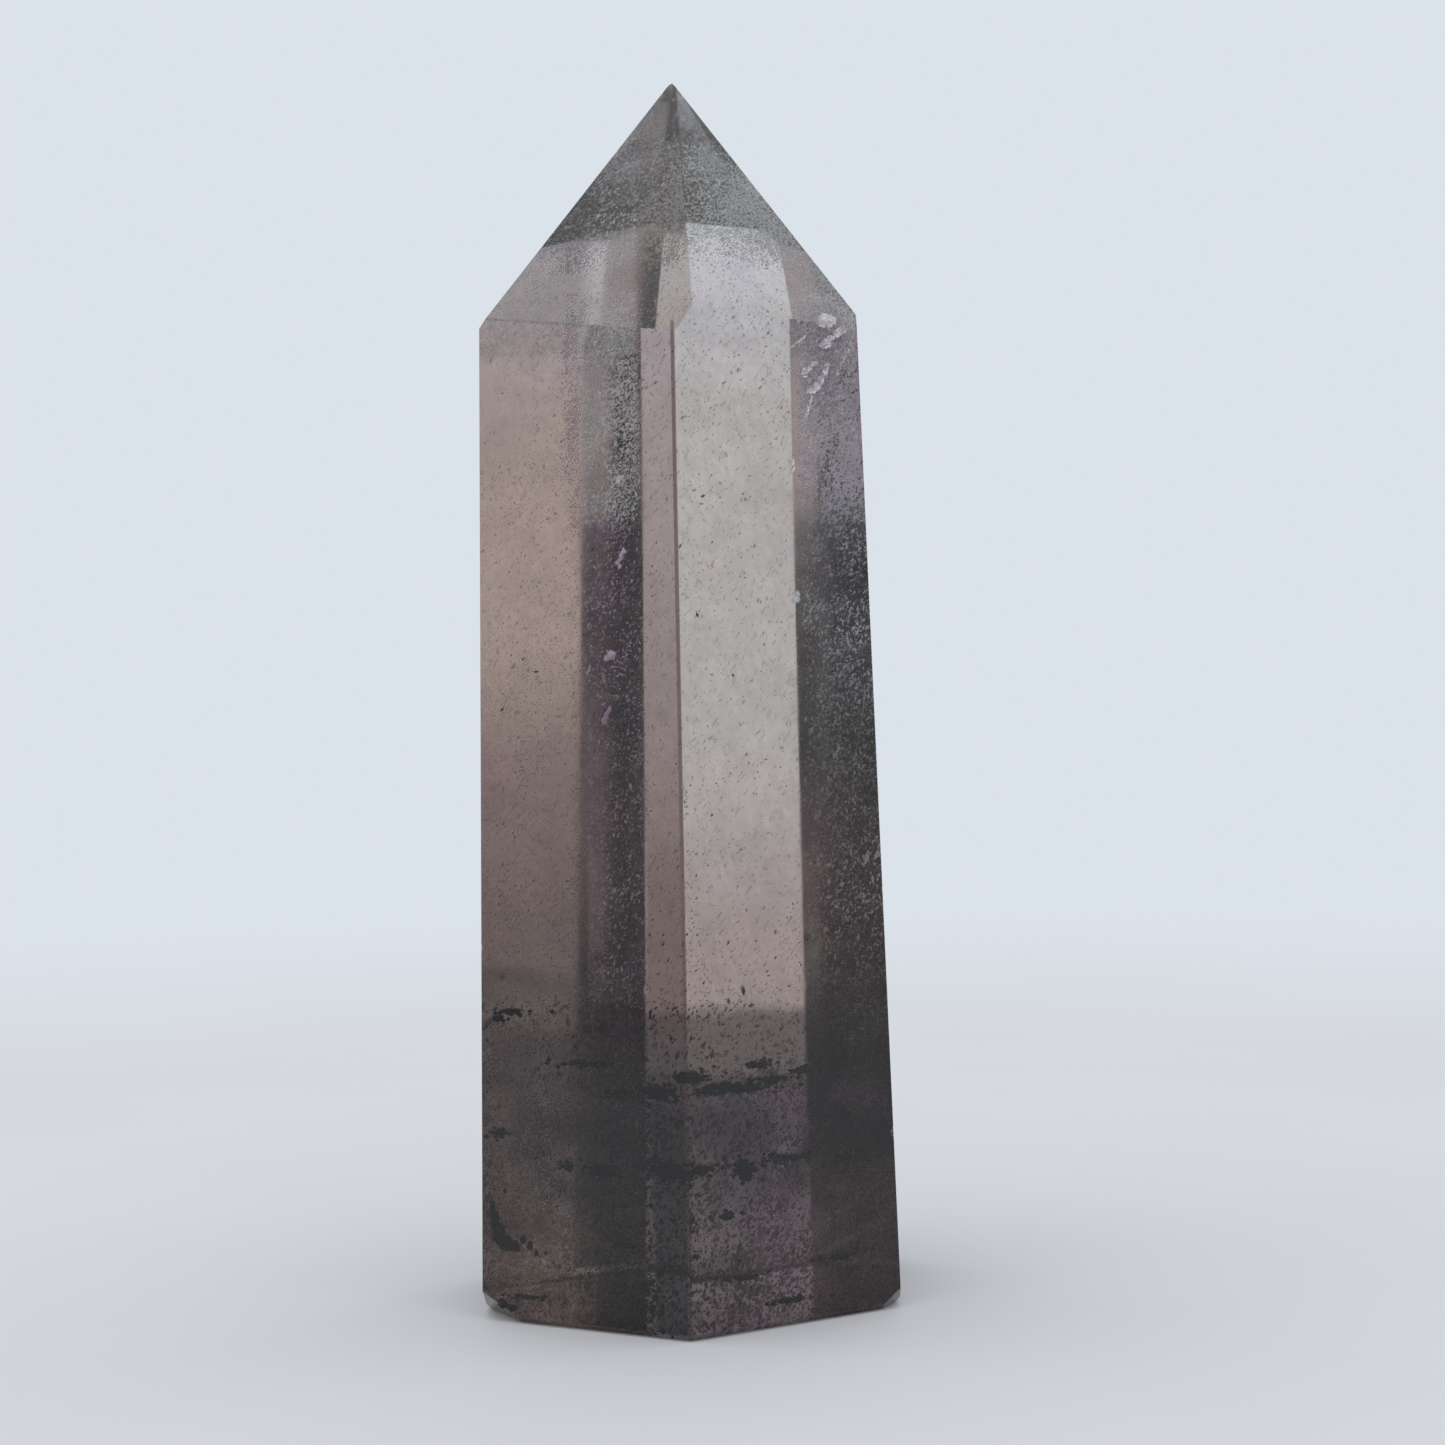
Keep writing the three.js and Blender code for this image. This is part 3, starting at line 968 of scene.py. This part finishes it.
class QUARTZ_OT_stage(bpy.types.Operator):
    """Set up the plain floor, the soft light and the camera"""

    bl_idname = "quartz.stage"
    bl_label = "Stage"

    def execute(self, context):
        look = context.scene.quartz_stage
        self.lay_floor(context, look)
        self.light_room(context, look)
        self.place_camera(context, look)
        context.scene.view_settings.view_transform = "Standard"
        return {"FINISHED"}

    def lay_floor(self, context, look):
        """A round floor just under the stone, which fades out behind it"""
        material, tree = bare_material("studio_floor")
        place = add_node(tree, "ShaderNodeTexCoord").outputs["Object"]
        reach = add_node(tree, "ShaderNodeVectorMath", {0: place}, operation="LENGTH").outputs["Value"]
        fade = ramp_between(tree, reach, 0.12, 0.34)
        dust = mottle(tree, cloud_scale=14.0, grain_scale=700.0, slant=0.0)["Cloud"]
        colour = darken(tree, look.floor_colour, ramp_between(tree, dust, 0.3, 0.7, 0.97, 1.0))
        paper = add_node(tree, "ShaderNodeBsdfPrincipled", {
            "Base Color": colour, "Roughness": 0.85, "Specular IOR Level": 0.2})
        gone = add_node(tree, "ShaderNodeBsdfTransparent")
        both = add_node(tree, "ShaderNodeMixShader", {
            0: fade, 1: paper.outputs[0], 2: gone.outputs[0]})
        add_node(tree, "ShaderNodeOutputMaterial", {"Surface": both.outputs[0]})
        bm = bmesh.new()
        bmesh.ops.create_circle(bm, cap_ends=True, segments=96, radius=look.floor_radius)
        bmesh.ops.translate(bm, verts=bm.verts, vec=(0.0, 0.0, -0.05 * MM))
        mesh = bpy.data.meshes.new("studio_floor")
        bm.to_mesh(mesh)
        bm.free()
        mesh.materials.append(material)
        floor = bpy.data.objects.new("studio_floor", mesh)
        context.scene.collection.objects.link(floor)

    def light_room(self, context, look):
        """Plain walls of light all round, each blended over the one before it"""
        world = bpy.data.worlds.new("soft_studio")
        world.use_nodes = True
        tree = world.node_tree
        tree.nodes.clear()
        way = add_node(tree, "ShaderNodeSeparateXYZ", {
            "Vector": add_node(tree, "ShaderNodeTexCoord").outputs["Generated"]}).outputs
        # The table top ends a little below level, and lower at the far left
        edge = ramp_between(tree, way["X"], -0.6, -0.52, 0.075, 0.025)
        low = ramp_between(tree, work_out(tree, "ADD", way["Z"], edge), 0.005, -0.005)
        front = blend_colours(tree, low, look.front_light, look.low_light)
        right = ramp_between(tree, way["X"], 0.45, 0.9)
        sides = blend_colours(tree, right, front, look.side_light)
        back = ramp_between(tree, way["Y"], -0.25, 0.35)
        around = blend_colours(tree, back, sides, look.back_light)
        up = ramp_between(tree, way["Z"], 0.5, 0.85)
        everywhere = blend_colours(tree, up, around, look.top_light)
        seen = add_node(tree, "ShaderNodeLightPath").outputs["Is Camera Ray"]
        shown = blend_colours(tree, seen, everywhere, look.back_light)
        shine = add_node(tree, "ShaderNodeBackground", {"Color": shown})
        add_node(tree, "ShaderNodeOutputWorld", {"Surface": shine.outputs[0]})
        context.scene.world = world

    def place_camera(self, context, look):
        """A level camera in front of the stone, with a slight roll"""
        lens = bpy.data.cameras.new("camera")
        lens.lens = look.lens
        lens.sensor_width = 36.0
        lens.clip_start = 0.01
        lens.clip_end = 10.0
        camera = bpy.data.objects.new("camera", lens)
        context.scene.collection.objects.link(camera)
        turn = Matrix.Rotation(look.camera_roll, 4, "Y") @ Matrix.Rotation(math.pi / 2, 4, "X")
        camera.matrix_world = Matrix.Translation(look.camera_place) @ turn
        context.scene.camera = camera


class QUARTZ_PT_tower(bpy.types.Panel):
    """The settings and the steps of the quartz tower"""

    bl_idname = "QUARTZ_PT_tower"
    bl_label = "Quartz Tower"
    bl_space_type = "VIEW_3D"
    bl_region_type = "UI"
    bl_category = "Quartz Tower"

    def draw(self, context):
        for name, operators in SECTIONS.items():
            box = self.layout.box()
            settings = getattr(context.scene, name)
            for field in settings.bl_rna.properties:
                if field.identifier not in ("rna_type", "name"):
                    box.prop(settings, field.identifier)
            for operator in operators:
                box.operator(operator.bl_idname)


SETTINGS = {
    "quartz_stone": StoneSettings,
    "quartz_inclusions": InclusionSettings,
    "quartz_stage": StageSettings,
}
SECTIONS = {
    "quartz_stone": (QUARTZ_OT_stone,),
    "quartz_inclusions": (
        QUARTZ_OT_specks, QUARTZ_OT_clouds, QUARTZ_OT_needles, QUARTZ_OT_layers,
        QUARTZ_OT_fractures, QUARTZ_OT_plum),
    "quartz_stage": (QUARTZ_OT_stage,),
}
OPERATORS = [operator for row in SECTIONS.values() for operator in row]


def register():
    for kind in (*SETTINGS.values(), *OPERATORS, QUARTZ_PT_tower):
        bpy.utils.register_class(kind)
    for name, kind in SETTINGS.items():
        setattr(bpy.types.Scene, name, PointerProperty(type=kind))


def unregister():
    for name in SETTINGS:
        delattr(bpy.types.Scene, name)
    for kind in (QUARTZ_PT_tower, *reversed(OPERATORS), *reversed(SETTINGS.values())):
        bpy.utils.unregister_class(kind)


def main():
    register()
    for operator in OPERATORS:
        group, name = operator.bl_idname.split(".")
        getattr(getattr(bpy.ops, group), name)()


if __name__ == "__main__":
    main()
